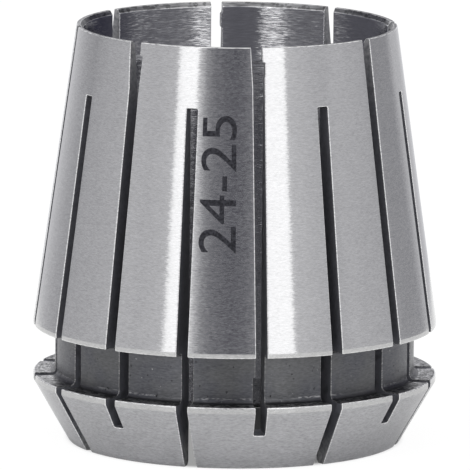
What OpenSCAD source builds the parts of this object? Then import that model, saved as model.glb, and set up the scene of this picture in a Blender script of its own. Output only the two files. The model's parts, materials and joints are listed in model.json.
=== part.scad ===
// Spring collet of the 33 mm size with an oversize 25 mm bore.
// One sleeve of spring steel, turned and ground all over, then slit from both ends in turn.
// The slits overlap, so the wall is a folded spring that closes evenly on a shank.
// The origin is the centre of the front face, and +Z runs along the axis to the small rear end.

/* [Tapers] */
// Largest diameter, over the two narrow lands beside the groove
land_d = 33; // [30:0.1:40]
// Half angle of the long taper that seats in the holder
seat_half_angle = 8; // [4:0.5:8.5]
// Half angle of the short front cone that the clamping nut presses on
nut_half_angle = 30; // [20:1:35]
// Length from the front face to the rear face
body_l = 34.2; // [26:0.1:36]

/* [Lands] */
// Height of the land at the top of the front ring
front_land_h = 0.5; // [0.2:0.05:1]
// Height of the land at the foot of the long taper
rear_land_h = 0.4; // [0.2:0.05:1]
// Width of the broken outer edges
edge_break = 0.1; // [0.02:0.01:0.15]

/* [Bore] */
// Wall between the bore and the lands, which leaves a 25 mm bore
land_wall = 4; // [3.8:0.1:8]
// Chamfer at the front mouth of the bore, where the shank enters
front_chamfer = 0.3; // [0.1:0.05:0.5]
// Radial width of the chamfer at the rear mouth of the bore
rear_chamfer_w = 0.25; // [0.1:0.01:0.3]
// Depth of the chamfer at the rear mouth of the bore
rear_chamfer_h = 0.35; // [0.1:0.05:0.8]

/* [Nut groove] */
// Height of the front ring below the groove
front_ring_h = 5.5; // [4.5:0.1:6.5]
// Width of the groove that the nut's eccentric ring snaps into
groove_w = 4; // [2.5:0.1:6]
// Depth of the groove below the lands
groove_depth = 1.8; // [1:0.1:2.4]
// Radius of the fillets in the groove's two corners
groove_fillet = 0.4; // [0.1:0.05:0.7]

/* [Slots] */
// Number of slots cut from each end
slots_per_end = 8; // [4:1:10]
// Width of every slot
slot_w = 0.93; // [0.6:0.01:1.2]
// Radius in the corners of a slot's blind end
slot_corner_r = 0.12; // [0.05:0.01:0.25]
// Metal left under the slots that are cut from the rear
front_bridge_h = 3; // [1.5:0.1:4]
// Metal left over the slots that are cut from the front
rear_bridge_h = 4.9; // [3:0.1:9]

/* [Hidden] */
$fn = 160;
// How far a cutting shape runs past the metal that it removes
run_out = 1;

land_r = land_d / 2;
bore_r = land_r - land_wall;
groove_r = land_r - groove_depth;
slot_pitch = 360 / slots_per_end;

groove_z = front_ring_h + groove_w;
seat_foot_z = groove_z + rear_land_h;
nut_cone_top_z = front_ring_h - front_land_h;

// Radii at the ends of the two cones, before their edges are broken
rear_r = land_r - (body_l - seat_foot_z) * tan(seat_half_angle);
front_r = land_r - nut_cone_top_z * tan(nut_half_angle);

// The rear rim is thin, so its chamfer and broken edge give way to its wall
rear_wall = rear_r - bore_r;
rear_chamfer = min(rear_chamfer_w, rear_wall / 2);
rear_break = min(edge_break, rear_wall / 4);

// Half section of the turned sleeve: radius along X, height along Y
module sleeve_section() {
    difference() {
        polygon([
            [bore_r + front_chamfer, 0],
            [front_r - edge_break, 0],
            [front_r + edge_break * tan(nut_half_angle), edge_break],
            [land_r, nut_cone_top_z],
            [land_r, front_ring_h - edge_break],
            [land_r - edge_break, front_ring_h],
            [land_r - edge_break, groove_z],
            [land_r, groove_z + edge_break],
            [land_r, seat_foot_z],
            [rear_r + rear_break * tan(seat_half_angle), body_l - rear_break],
            [rear_r - rear_break, body_l],
            [bore_r + rear_chamfer, body_l],
            [bore_r, body_l - rear_chamfer_h],
            [bore_r, front_chamfer],
        ]);
        groove_section();
    }
}

// Outline of the nut groove, a rectangle with its two inner corners rounded
module groove_section() {
    reach = land_r + run_out - groove_r;
    translate([groove_r, front_ring_h + groove_fillet])
        square([reach, groove_w - 2 * groove_fillet]);
    translate([groove_r + groove_fillet, front_ring_h])
        square([reach - groove_fillet, groove_w]);
    for (corner_z = [front_ring_h + groove_fillet, groove_z - groove_fillet])
        translate([groove_r + groove_fillet, corner_z])
            circle(r = groove_fillet);
}

// Outline of one slot, with its blind end at the origin and its open end along +Y
module slot_outline(length) {
    translate([-slot_w / 2, slot_corner_r])
        square([slot_w, length - slot_corner_r]);
    translate([-slot_w / 2 + slot_corner_r, 0])
        square([slot_w - 2 * slot_corner_r, length]);
    for (side = [-1, 1])
        translate([side * (slot_w / 2 - slot_corner_r), slot_corner_r])
            circle(r = slot_corner_r);
}

// One slot, cut radially outwards from inside the bore on the -Y side
module slot_cut(length) {
    start_r = bore_r - slot_w;
    translate([0, -start_r, 0])
        rotate([90, 0, 0])
            linear_extrude(height = land_r + run_out - start_r)
                slot_outline(length);
}

// Slots open at the rear face, which stop short of the front face
module rear_slots() {
    for (i = [0 : slots_per_end - 1])
        rotate([0, 0, i * slot_pitch])
            translate([0, 0, front_bridge_h])
                slot_cut(body_l + run_out - front_bridge_h);
}

// Slots open at the front face, halfway between the others, which stop short of the rear face
module front_slots() {
    for (i = [0 : slots_per_end - 1])
        rotate([0, 0, (i + 0.5) * slot_pitch])
            translate([0, 0, body_l - rear_bridge_h])
                mirror([0, 0, 1])
                    slot_cut(body_l + run_out - rear_bridge_h);
}

module collet() {
    color([0.70, 0.71, 0.73])
        difference() {
            rotate_extrude() sleeve_section();
            rear_slots();
            front_slots();
        }
}

collet();
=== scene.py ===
"""Looks of a slit spring collet, laid out as an add-on.

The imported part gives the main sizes. This file adds what its finish needs: the broken edges of the turned
section and of every slot, the ground, turned, sawn and etched surfaces, the size marking on the long taper,
and a studio with a pale floor, a light tent that only reflections see, soft lamps and a camera.
Lengths are in metres and heights are measured from the front face, on which the collet stands.
"""

import json
import math

import bmesh
import bpy
import numpy as np
from bpy.props import (
    FloatProperty,
    FloatVectorProperty,
    IntProperty,
    PointerProperty,
    StringProperty,
)
from mathutils import Matrix, Vector


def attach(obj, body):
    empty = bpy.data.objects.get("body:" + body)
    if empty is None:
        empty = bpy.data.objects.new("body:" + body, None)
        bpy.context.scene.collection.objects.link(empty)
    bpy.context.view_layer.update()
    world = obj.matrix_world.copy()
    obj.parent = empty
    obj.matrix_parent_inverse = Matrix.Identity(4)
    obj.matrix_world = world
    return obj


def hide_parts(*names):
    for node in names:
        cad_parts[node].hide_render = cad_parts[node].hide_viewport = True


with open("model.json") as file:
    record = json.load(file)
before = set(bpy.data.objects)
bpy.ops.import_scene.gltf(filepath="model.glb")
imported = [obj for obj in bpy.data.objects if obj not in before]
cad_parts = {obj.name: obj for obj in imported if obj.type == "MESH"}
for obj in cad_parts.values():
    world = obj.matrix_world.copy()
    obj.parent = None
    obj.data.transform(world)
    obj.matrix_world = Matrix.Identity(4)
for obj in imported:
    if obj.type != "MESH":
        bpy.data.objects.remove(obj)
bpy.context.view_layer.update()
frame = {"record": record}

bl_info = {
    "name": "Spring Collet",
    "version": (1, 0, 0),
    "blender": (4, 5, 0),
    "location": "3D View > Sidebar > Collet",
    "description": "Makes a ground and slit spring collet, its size marking and a studio for it",
    "category": "Add Mesh",
}

BODY = "root"
NODE = "collet"
MM = 0.001

MOUNTS = {mount["name"]: mount for mount in frame["record"]["mounts"]}
BORE = MOUNTS["shank_bore"]["dims"]
SEAT = MOUNTS["holder_taper"]["dims"]
GROOVE = MOUNTS["nut_groove"]["dims"]
SEAT_FOOT = MOUNTS["holder_taper"]["pos_m"][2]
GROOVE_MIDDLE = MOUNTS["nut_groove"]["pos_m"][2]
NUT_CONE_TOP = MOUNTS["nut_cone"]["pos_m"][2]


def length_property(name, description, default):
    """A length in metres that the sidebar shows in the scene's units."""
    return FloatProperty(
        name=name,
        description=description,
        default=default,
        min=0.0,
        precision=5,
        subtype="DISTANCE",
        unit="LENGTH",
    )


def angle_property(name, description, degrees):
    """An angle that the sidebar shows in degrees."""
    return FloatProperty(
        name=name,
        description=description,
        default=math.radians(degrees),
        subtype="ANGLE",
        unit="ROTATION",
    )


def colour_property(name, description, default):
    """A linear colour without alpha."""
    return FloatVectorProperty(
        name=name,
        description=description,
        default=default,
        size=3,
        min=0.0,
        max=1.0,
        subtype="COLOR",
    )


def share_property(name, description, default, largest=1.0):
    """A plain number from nothing up to a largest value."""
    return FloatProperty(
        name=name,
        description=description,
        default=default,
        min=0.0,
        max=largest,
        subtype="FACTOR",
    )


class SleeveSizes(bpy.types.PropertyGroup):
    """Sizes of the turned section, its slots and its broken edges."""

    bore_r: length_property("Bore radius", "Radius of the straight bore", BORE["r_mm"] * MM)
    land_r: length_property("Land radius", "Largest radius, over the two lands", SEAT["r_mm"] * MM)
    groove_r: length_property("Groove radius", "Radius at the bottom of the nut groove", GROOVE["r_mm"] * MM)
    groove_w: length_property("Groove width", "Width of the nut groove", GROOVE["length_mm"] * MM)
    groove_z: length_property("Groove height", "Height of the middle of the groove", GROOVE_MIDDLE)
    groove_fillet: length_property("Groove fillet", "Radius in the two corners of the groove", 0.4 * MM)
    cone_z: length_property("Nut cone height", "Height of the top of the short cone", NUT_CONE_TOP)
    seat_z: length_property("Taper foot", "Height of the foot of the long taper", SEAT_FOOT)
    seat_l: length_property("Taper length", "Length of the long taper", SEAT["length_mm"] * MM)
    seat_angle: angle_property("Taper half angle", "Half angle of the long taper", 8.0)
    cone_angle: angle_property("Nut cone half angle", "Half angle of the short cone", 30.0)
    front_chamfer: length_property("Front chamfer", "Chamfer at the front mouth of the bore", 0.3 * MM)
    rear_chamfer_w: length_property("Rear chamfer width", "Radial width of the rear chamfer", 0.25 * MM)
    rear_chamfer_h: length_property("Rear chamfer depth", "Depth of the rear chamfer", 0.35 * MM)
    slots_per_end: IntProperty(
        name="Slots per end",
        description="Slots cut from each end",
        default=8,
        min=3,
        max=12,
    )
    slot_w: length_property("Slot width", "Width of every slot", 0.93 * MM)
    slot_corner: length_property("Slot corner", "Radius in the corners of a blind end", 0.12 * MM)
    front_bridge: length_property("Front bridge", "Metal left under the slots cut from the rear", 3.0 * MM)
    rear_bridge: length_property("Rear bridge", "Metal left over the slots cut from the front", 4.9 * MM)
    rim_edge: length_property("Turned edges", "Radius of the broken edges of the turned section", 0.1 * MM)
    slot_edge: length_property("Slot edges", "Radius of the broken outer edges of the slots", 0.075 * MM)
    bore_edge: length_property("Bore edges", "Radius of the broken edges of the slots in the bore", 0.05 * MM)


class SleeveFinish(bpy.types.PropertyGroup):
    """Colours and marks of the sleeve's surfaces."""

    steel: colour_property("Ground steel", "Colour of the ground taper and lands", (0.5, 0.5, 0.5))
    ring: colour_property("Front ring", "Colour of the ground short cone", (0.498, 0.498, 0.512))
    faced: colour_property("End faces", "Colour of the turned faces and the rear mouth", (0.33, 0.33, 0.33))
    bore: colour_property("Bore", "Colour of the turned bore", (0.42, 0.42, 0.425))
    groove: colour_property("Groove", "Colour of the heat-tinted groove", (0.104, 0.105, 0.108))
    tint: colour_property("Heat tint", "Colour of the bluish patches in the groove", (0.088, 0.090, 0.102))
    slot: colour_property("Slots", "Colour of the sawn slot walls", (0.15, 0.152, 0.17))
    tilt: angle_property("Grinding marks", "How far the grinding marks tilt the surface", 0.8)


class MarkingSettings(bpy.types.PropertyGroup):
    """The size marking etched along the long taper."""

    digits: StringProperty(name="Digits", description="Clamping range in millimetres", default="24-25")
    cap_height: length_property("Digit height", "Height of a digit", 2.9 * MM)
    line_length: length_property("Line length", "Length of the line of digits up the taper", 11.0 * MM)
    foot_z: length_property("Line foot", "Height at which the line of digits begins", 17.9 * MM)
    azimuth: angle_property("Azimuth", "Place of the digits round the axis, from -Y", -13.1)
    colour: colour_property("Colour", "Colour of the etched digits", (0.035, 0.035, 0.04))


class StageSettings(bpy.types.PropertyGroup):
    """The studio round the collet."""

    floor: colour_property("Floor", "Colour of the floor", (0.9, 0.9, 0.9))
    lift: share_property("Floor lift", "How far the floor is lifted to white where it is seen", 0.9)
    daylight: share_property("Daylight", "Strength of the even light from all round", 0.75, 2.0)
    tent: share_property("Tent", "Strength of the light tent in reflections", 1.16, 4.0)
    lens: FloatProperty(
        name="Lens",
        description="Focal length of the camera in millimetres",
        default=662.2,
        subtype="DISTANCE_CAMERA",
        unit="CAMERA",
    )
    distance: length_property("Camera distance", "Distance from the camera to its aim", 707.35 * MM)
    elevation: angle_property("Camera elevation", "Angle of the camera above the horizon", 9.713)
    azimuth: angle_property("Camera azimuth", "Angle of the camera round the axis from -Y", -7.676)
    roll: angle_property("Camera roll", "Turn of the camera about its line of sight", 0.433)
    aim_z: length_property("Aim height", "Height of the point that the camera aims at", 16.776 * MM)
    aim_side: FloatProperty(
        name="Aim offset",
        description="Sideways offset of that point, to the right",
        default=-0.028 * MM,
        precision=5,
        subtype="DISTANCE",
        unit="LENGTH",
    )


# Turned section


# A corner that turns by less than this isn't rubbed, nor given a painted highlight
RUBBED_TURN = math.radians(35)
# The arc of a corner has two steps for about every such turn
ARC_TURN = math.radians(40)


def main_heights(sizes):
    """Heights of the groove's lower and upper side and of the rear face."""
    ring_z = sizes.groove_z - sizes.groove_w / 2
    shoulder_z = sizes.groove_z + sizes.groove_w / 2
    return ring_z, shoulder_z, sizes.seat_z + sizes.seat_l


def rounded_chain(corners, side):
    """Rows (key, r, z, nr, nz, wear) along a chain of straight lines whose corners are rounded.

    A corner is (r, z, rounding, key). The normals of its arc turn evenly from the normal n0 of one line to
    the normal n1 of the next, and its points are centre +- rounding * normal, where the centre is
    corner -+ rounding * (n0 + n1) / (1 + n0.n1), with the upper signs on an outer corner and the lower ones
    in an inner corner. side is 1 where the metal lies on the left of the chain and -1 where it lies on
    the right. The key grows with the length along the chain, from one corner's key to the next.
    The last column is 1 inside the arc of a sharp outer corner and 0 elsewhere: a rubbed edge, which the
    materials also give a painted highlight.
    """
    points = np.array([corner[:2] for corner in corners])
    way = np.diff(points, axis=0)
    way /= np.linalg.norm(way, axis=1)[:, None]
    normals = side * np.stack([way[:, 1], -way[:, 0]], axis=1)
    stretches = [np.array([[*points[0], *normals[0], 0.0]])]
    middles = [0]
    count = 1
    for index in range(1, len(corners) - 1):
        before, after = normals[index - 1], normals[index]
        turn = math.atan2(before[0] * after[1] - before[1] * after[0], before @ after)
        rounding = corners[index][2]
        if rounding == 0:
            stretches.append(np.array([[*points[index], *before, 0.0]]))
            middles.append(count)
            count += 1
            continue
        outer = 1.0 if turn * side > 0 else -1.0
        steps = 2 * max(1, round(abs(turn) / ARC_TURN))
        angles = np.linspace(0, turn, steps + 1)
        cos, sin = np.cos(angles), np.sin(angles)
        arc_normals = np.stack([before[0] * cos - before[1] * sin, before[0] * sin + before[1] * cos], axis=1)
        centre = points[index] - outer * rounding * (before + after) / (1 + before @ after)
        wear = np.zeros(steps + 1)
        wear[1:-1] = outer > 0 and abs(turn) > RUBBED_TURN
        arc = centre + outer * rounding * arc_normals
        stretches.append(np.column_stack([arc, arc_normals, wear]))
        middles.append(count + steps // 2)
        count += steps + 1
    stretches.append(np.array([[*points[-1], *normals[-1], 0.0]]))
    middles.append(count)
    rows = np.concatenate(stretches)
    travel = np.concatenate([[0.0], np.cumsum(np.linalg.norm(np.diff(rows[:, :2], axis=0), axis=1))])
    keys = np.interp(travel, travel[middles], [corner[3] for corner in corners])
    return np.column_stack([keys, rows])


# Keys on the two faces: below the front one at its middle, above the rear one at its middle, and past the
# edge of each mouth of the bore
FRONT_KEY_DROP = 1.0 * MM
REAR_KEY_RISE = 0.8 * MM
MOUTH_KEY_STEP = 0.3 * MM
# How far the keys of these corners are shifted from their heights, so that rows fall on the groove's sides
CONE_TOP_KEY_DROP = 0.3 * MM
RIM_KEY_STEP = 0.45 * MM
FILLET_KEY_STEP = 0.1 * MM
SEAT_FOOT_KEY_RISE = 0.35 * MM
# The keys are heights again from here: above the blind ends of the rear slots, and above the taper's foot
BRIDGE_KEY_RISE = 0.3 * MM
TAPER_KEY_RISE = 1.1 * MM
# Radii of some turned edges, as shares of the plain one
SEAT_FOOT_ROUND = 3
REAR_ROUND = 0.8
MOUTH_ROUND = 0.6
REAR_MOUTH_ROUND = 2.5


def section(sizes):
    """The outer and inner chains of the turned half section.

    Both run from the middle of the front face to the middle of the rear face. Their keys are heights, shifted
    only beside the groove and on the two faces, so that a row of one key cuts straight through the wall.
    """
    ring_z, shoulder_z, top_z = main_heights(sizes)
    rear_r = sizes.land_r - sizes.seat_l * math.tan(sizes.seat_angle)
    front_r = sizes.land_r - sizes.cone_z * math.tan(sizes.cone_angle)
    plain_z = sizes.front_bridge + BRIDGE_KEY_RISE
    plain_r = front_r + plain_z * math.tan(sizes.cone_angle)
    taper_z = sizes.seat_z + TAPER_KEY_RISE
    taper_r = rear_r + (top_z - taper_z) * math.tan(sizes.seat_angle)
    front_mouth = sizes.bore_r + sizes.front_chamfer
    rear_mouth = sizes.bore_r + sizes.rear_chamfer_w
    rear_chamfer_z = top_z - sizes.rear_chamfer_h
    front_middle = ((front_mouth + front_r) / 2, 0.0, 0.0, -FRONT_KEY_DROP)
    rear_middle = ((rear_mouth + rear_r) / 2, top_z, 0.0, top_z + REAR_KEY_RISE)
    edge = sizes.rim_edge
    outer = rounded_chain(
        [
            front_middle,
            (front_r, 0.0, edge, 0.0),
            (plain_r, plain_z, 0.0, plain_z),
            (sizes.land_r, sizes.cone_z, edge, sizes.cone_z - CONE_TOP_KEY_DROP),
            (sizes.land_r, ring_z, edge, ring_z - RIM_KEY_STEP),
            (sizes.groove_r, ring_z, sizes.groove_fillet, ring_z + FILLET_KEY_STEP),
            (sizes.groove_r, shoulder_z, sizes.groove_fillet, shoulder_z - FILLET_KEY_STEP),
            (sizes.land_r, shoulder_z, edge, shoulder_z + RIM_KEY_STEP),
            (sizes.land_r, sizes.seat_z, SEAT_FOOT_ROUND * edge, sizes.seat_z + SEAT_FOOT_KEY_RISE),
            (taper_r, taper_z, 0.0, taper_z),
            (rear_r, top_z, REAR_ROUND * edge, top_z),
            rear_middle,
        ],
        side=1,
    )
    inner = rounded_chain(
        [
            front_middle,
            (front_mouth, 0.0, MOUTH_ROUND * edge, -MOUTH_KEY_STEP),
            (sizes.bore_r, sizes.front_chamfer, MOUTH_ROUND * edge, sizes.front_chamfer),
            (sizes.bore_r, rear_chamfer_z, REAR_MOUTH_ROUND * edge, rear_chamfer_z),
            (rear_mouth, top_z, REAR_ROUND * edge, top_z + MOUTH_KEY_STEP),
            rear_middle,
        ],
        side=-1,
    )
    return outer, inner


def on_skin(chain, key, across, depth):
    """Points and normals beside the middle plane of a slot, in the slot's own frame.

    x is the distance across from that plane, y points outwards along it and z is the height. The section
    at the key gives r, z and their normal. The point is sunk by depth along the normal, and then
    y = sqrt(r * r - x * x).
    """
    r, z, nr, nz, wear = (np.interp(key, chain[:, 0], chain[:, column]) for column in range(1, 6))
    size = np.hypot(nr, nz)
    nr, nz = nr / size, nz / size
    r, z = r - depth * nr, z - depth * nz
    y = np.sqrt(r * r - across * across)
    points = np.stack(np.broadcast_arrays(across, y, z), axis=-1)
    normals = np.stack(np.broadcast_arrays(nr * across / r, nr * y / r, nz), axis=-1)
    return points, normals, np.broadcast_to(wear, y.shape)


# Patches of one half sector, from the middle of a rear slot to the middle of a front slot


def patch(points, normals, wear, finish):
    """A grid of points with a normal and a wear for each, and a finish for each cell."""
    cells = np.broadcast_to(np.asarray(finish), (points.shape[0] - 1, points.shape[1] - 1))
    wear = np.broadcast_to(wear, points.shape[:2])
    return {"points": points, "normals": normals, "wear": wear, "finish": cells}


def row_finish(rows, limits, finishes):
    """Finish of each row of cells, which changes at each limit that the row's middle has passed."""
    middle = (rows[:-1] + rows[1:]) / 2
    return np.asarray(finishes)[np.searchsorted(limits, middle)][:, None]


# Finishes, by their place among the sleeve's materials
GROUND, RING, TURNED, TINTED, SAWN, FACED = range(6)
# Keys at which the finish changes: from the front face, below the groove's rim, below its fillet, past the
# rear face, and at the two mouths of the bore
FRONT_LIMIT = 0.04 * MM
RIM_LIMIT = 0.42 * MM
FILLET_LIMIT = 0.02 * MM
REAR_LIMIT = 0.25 * MM
MOUTH_LIMIT = 0.35 * MM
REAR_MOUTH_LIMIT = 0.05 * MM
# Turns across a slot's broken edge, from the skin to the wall, and how rubbed the edge is at each, which also
# sets how strong its painted highlight is
EDGE_TURN = np.linspace(0, math.pi / 2, 5)
EDGE_WEAR_AND_HIGHLIGHT = np.sqrt(np.clip(np.sin(2 * EDGE_TURN), 0, 1))
# The broken edge's radius in the groove as a share of that on the cones, and at the faces as one of the rim's
GROOVE_EDGE_SHARE = 0.9
FACE_EDGE_SHARE = 0.45
# How far from each face it grows from there to its full radius, and how far below and above the groove
FRONT_EDGE_FADE = (0.2 * MM, 0.9 * MM)
REAR_EDGE_FADE = (1.0 * MM, 0.2 * MM)
RING_EDGE_FADE = 0.3 * MM
SHOULDER_EDGE_FADE = 0.5 * MM
# Cells across the skin between two slots and across a slot's wall, and the largest step between two rows
WEB_STEPS = 8
WALL_STEPS = 2
ROW_STEP = 0.4 * MM
KEY_DECIMALS = 5
# A slot's wall ends this far inside its open face, and a flat cap closes the rest
END_MARGIN = 0.45 * MM
# Below a blind end, the columns of the bridge straighten over this height
BRIDGE_FADE = 0.5 * MM
# Points in the same cell of this size are one. The offset keeps round coordinates off the cells' sides
MERGE_STEP = 1e-4 * MM
MERGE_OFFSET = 0.137


def key_rows(*keys):
    """These keys in order, to a hundredth of a millimetre, with more where a step passes ROW_STEP."""
    keys = np.unique(np.concatenate(keys).round(KEY_DECIMALS))
    steps = np.maximum(np.ceil(np.diff(keys) / ROW_STEP).astype(int), 1)
    stretches = [np.linspace(a, b, n, endpoint=False) for a, b, n in zip(keys[:-1], keys[1:], steps)]
    return np.concatenate([*stretches, keys[-1:]])


def edge_radius(sizes, key, plain, in_groove):
    """Radius of a slot's broken edge: plain along the cones, smaller in the groove and at the two faces."""
    ring_z, shoulder_z, top_z = main_heights(sizes)
    at_face = FACE_EDGE_SHARE * sizes.rim_edge
    groove = [ring_z - RING_EDGE_FADE, ring_z, shoulder_z, shoulder_z + SHOULDER_EDGE_FADE]
    rear = [top_z - fade for fade in REAR_EDGE_FADE]
    radii = [at_face, plain, plain, in_groove, in_groove, plain, plain, at_face]
    return np.interp(key, [*FRONT_EDGE_FADE, *groove, *rear], radii)


def half_sector(sizes):
    """The patches between the middle of a rear slot and the middle of the next front slot.

    Each slot's patches are worked out in the slot's own frame. The mirror through the line halfway between
    the two slots takes the front slot's patches to their place.
    """
    outer, inner = section(sizes)
    ring_z, shoulder_z, top_z = main_heights(sizes)
    half_pitch = math.pi / sizes.slots_per_end
    slots = [SlotSide(sizes, sizes.front_bridge, 1), SlotSide(sizes, top_z - sizes.rear_bridge, -1)]
    rows = key_rows(outer[:, 0], inner[:, 0], [slot.corner_key for slot in slots], step_rows(sizes))
    for slot in slots:
        slot.split_rows(rows)
    outer_limits = (
        -FRONT_LIMIT,
        sizes.cone_z - CONE_TOP_KEY_DROP,
        ring_z - RIM_LIMIT,
        ring_z - FILLET_LIMIT,
        shoulder_z + RIM_LIMIT,
        top_z + REAR_LIMIT,
    )
    outer_finishes = (FACED, RING, GROUND, FACED, TINTED, GROUND, FACED)
    inner_limits = (-MOUTH_LIMIT, sizes.front_chamfer, top_z - sizes.rear_chamfer_h + REAR_MOUTH_LIMIT)
    inner_finishes = (FACED, GROUND, TURNED, FACED)
    skins = [
        (outer, GROOVE_EDGE_SHARE * sizes.slot_edge, sizes.slot_edge, outer_limits, outer_finishes),
        (inner, sizes.bore_edge, sizes.bore_edge, inner_limits, inner_finishes),
    ]
    patches = []
    for chain, in_groove, plain, limits, finishes in skins:
        radius = edge_radius(sizes, rows, plain, in_groove)
        finish = row_finish(rows, limits, finishes)
        patches.append(web(chain, rows, sizes.slot_w / 2 + radius, half_pitch, finish))
    turned = math.cos(half_pitch), math.sin(half_pitch)
    mirror = np.array([[-turned[0], turned[1], 0], [turned[1], turned[0], 0], [0, 0, 1]])
    for slot, frame_turn in zip(slots, (np.eye(3), mirror)):
        for made in slot.patches(skins):
            made["points"] = made["points"] @ frame_turn.T
            made["normals"] = made["normals"] @ frame_turn.T
            patches.append(made)
    return patches


def web(chain, rows, across, half_pitch, finish):
    """The skin between two slots.

    Its edges lie at the distance across from the middle planes of the slots, at the angles asin(across / r)
    and half_pitch - asin(across / r), and the columns between share that arc evenly.
    """
    r = np.interp(rows, chain[:, 0], chain[:, 1])[:, None]
    first = np.arcsin(across[:, None] / r)
    share = np.linspace(0, 1, WEB_STEPS + 1)[None, :]
    angle = first + share * (half_pitch - 2 * first)
    points, normals, wear = on_skin(chain, rows[:, None], r * np.sin(angle), 0.0)
    return patch(points, normals, wear, finish)


class SlotSide:
    """Half of one slot: the outline of its blind end and wall, and the patches that follow it."""

    def __init__(self, sizes, blind, way):
        """blind is the height of the blind end, and way is 1 for a slot that runs up from it, else -1."""
        self.sizes = sizes
        self.way = way
        self.blind = blind
        self.corner_key = round(blind + way * sizes.slot_corner, KEY_DECIMALS)

    def split_rows(self, rows):
        """Parts the rows, from the bridged face on, into those of the bridge, the wall and the open end."""
        rows = rows if self.way > 0 else rows[::-1]
        corner_row = np.argmin(np.abs(rows - self.corner_key))
        _, _, top_z = main_heights(self.sizes)
        last_full = top_z - END_MARGIN if self.way > 0 else END_MARGIN
        full = np.count_nonzero(self.way * (last_full - rows) >= 0)
        self.bridge_rows = rows[: corner_row + 1]
        self.wall_rows = rows[corner_row:full]
        self.end_rows = rows[full - 1 :]

    def corner(self):
        """(x, key, angle) of the blind end from its middle to the end of its corner.

        The angle is a quarter turn along the blind end and falls to nothing round the corner, and the wall
        beyond has an angle of nothing.
        """
        radius = self.way * (self.corner_key - self.blind)
        middle = self.sizes.slot_w / 2 - radius
        angle = np.radians([90, 90, 90, 67.5, 45, 22.5, 0])
        x = np.concatenate([[0, middle / 2, middle], middle + radius * np.cos(angle[3:])])
        key = self.blind + self.way * radius * (1 - np.sin(angle))
        return x, key, angle

    def edge_strip(self, chain, radius_of, x, key, angle):
        """The rounded edge between a skin and the slot.

        Across the edge, the turn t grows from 0 at the skin to a quarter turn at the wall. The point lies
        b (1 - sin t) off the outline and b (1 - cos t) below the skin, where b is the edge's radius, and its
        normal is cos t times the skin's normal plus sin t times the wall's.
        """
        b = radius_of(key)[:, None]
        off = b * (1 - np.sin(EDGE_TURN))
        depth = b * (1 - np.cos(EDGE_TURN))
        angle = angle[:, None]
        across = x[:, None] + off * np.cos(angle)
        at_key = key[:, None] - self.way * off * np.sin(angle)
        points, skin_normals, wear = on_skin(chain, at_key, across, depth)
        zero = np.zeros_like(angle)
        wall_normal = np.stack([-np.cos(angle), zero, self.way * np.sin(angle)], axis=-1)
        normals = np.cos(EDGE_TURN)[:, None] * skin_normals + np.sin(EDGE_TURN)[:, None] * wall_normal
        return points, normals, np.maximum(wear, EDGE_WEAR_AND_HIGHLIGHT)

    def patches(self, skins):
        """The bridge on both skins, the edges, the wall with the blind end, and the cap of the open end."""
        x, key, angle = self.corner()
        wall_x = np.full(len(self.wall_rows) - 1, self.sizes.slot_w / 2)
        x = np.concatenate([x, wall_x])
        key = np.concatenate([key, self.wall_rows[1:]])
        angle = np.concatenate([angle, np.zeros(len(wall_x))])
        end_x = np.full(len(self.end_rows), self.sizes.slot_w / 2)
        made, sides, ends = [], [], []
        for chain, in_groove, plain, limits, finishes in skins:
            def radius_of(keys, plain=plain, in_groove=in_groove):
                return edge_radius(self.sizes, keys, plain, in_groove)

            made.append(self.bridge(chain, radius_of, row_finish(self.bridge_rows, limits, finishes)))
            strip = self.edge_strip(chain, radius_of, x, key, angle)
            made.append(patch(*strip, row_finish(key, limits, finishes)))
            end = self.edge_strip(chain, radius_of, end_x, self.end_rows, np.zeros(len(end_x)))
            made.append(patch(*end, row_finish(self.end_rows, limits, finishes)))
            sides.append(strip[0][:, -1])
            ends.append(end[0][:, -1])
        share = np.linspace(0, 1, WALL_STEPS + 1)[None, :, None]
        wall = sides[0][:, None] * (1 - share) + sides[1][:, None] * share
        wall_normal = np.stack([-np.cos(angle), 0 * angle, self.way * np.sin(angle)], axis=-1)
        made.append(patch(wall, np.broadcast_to(wall_normal[:, None], wall.shape), 0.0, SAWN))
        rim = np.concatenate([ends[0], ends[1][-2::-1], wall[-1:, 1]])
        made.append({"ring": rim, "points": rim, "normals": np.broadcast_to([-1.0, 0.0, 0.0], rim.shape)})
        return made

    def bridge(self, chain, radius_of, finish):
        """The skin between the blind end and the nearer face.

        A column starts at a point of the blind end's edge. Towards the face its rows straighten within
        BRIDGE_FADE, and the columns then share the width evenly.
        """
        x, key, angle = self.corner()
        radius = radius_of(np.array([self.corner_key]))
        width = self.sizes.slot_w / 2 + radius
        hole_x = (x + radius * np.cos(angle)) / width
        hole_key = key - self.way * radius * np.sin(angle)
        even = np.linspace(0, 1, len(x))
        plain_key = self.blind - self.way * BRIDGE_FADE
        rows = self.bridge_rows[:, None]
        reach = (rows - plain_key) / (self.corner_key - plain_key)
        near = np.clip(reach, 0, 1)
        at_key = np.where(reach > 0, plain_key + reach * (hole_key - plain_key), rows)
        across = (near * hole_x + (1 - near) * even) * (self.sizes.slot_w / 2 + radius_of(rows))
        points, normals, wear = on_skin(chain, at_key, across, 0.0)
        return patch(points, normals, wear, finish)


# The whole sleeve

# Heights past the two faces
BELOW = -1.0 * MM
ABOVE = 36.0 * MM
# Two slots that are a little wider than the rest: their azimuths in degrees from -Y and how far each wall
# stands back
WIDER_SLOTS = [(-90.0, -0.07 * MM), (90.0, -0.05 * MM)]
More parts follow.
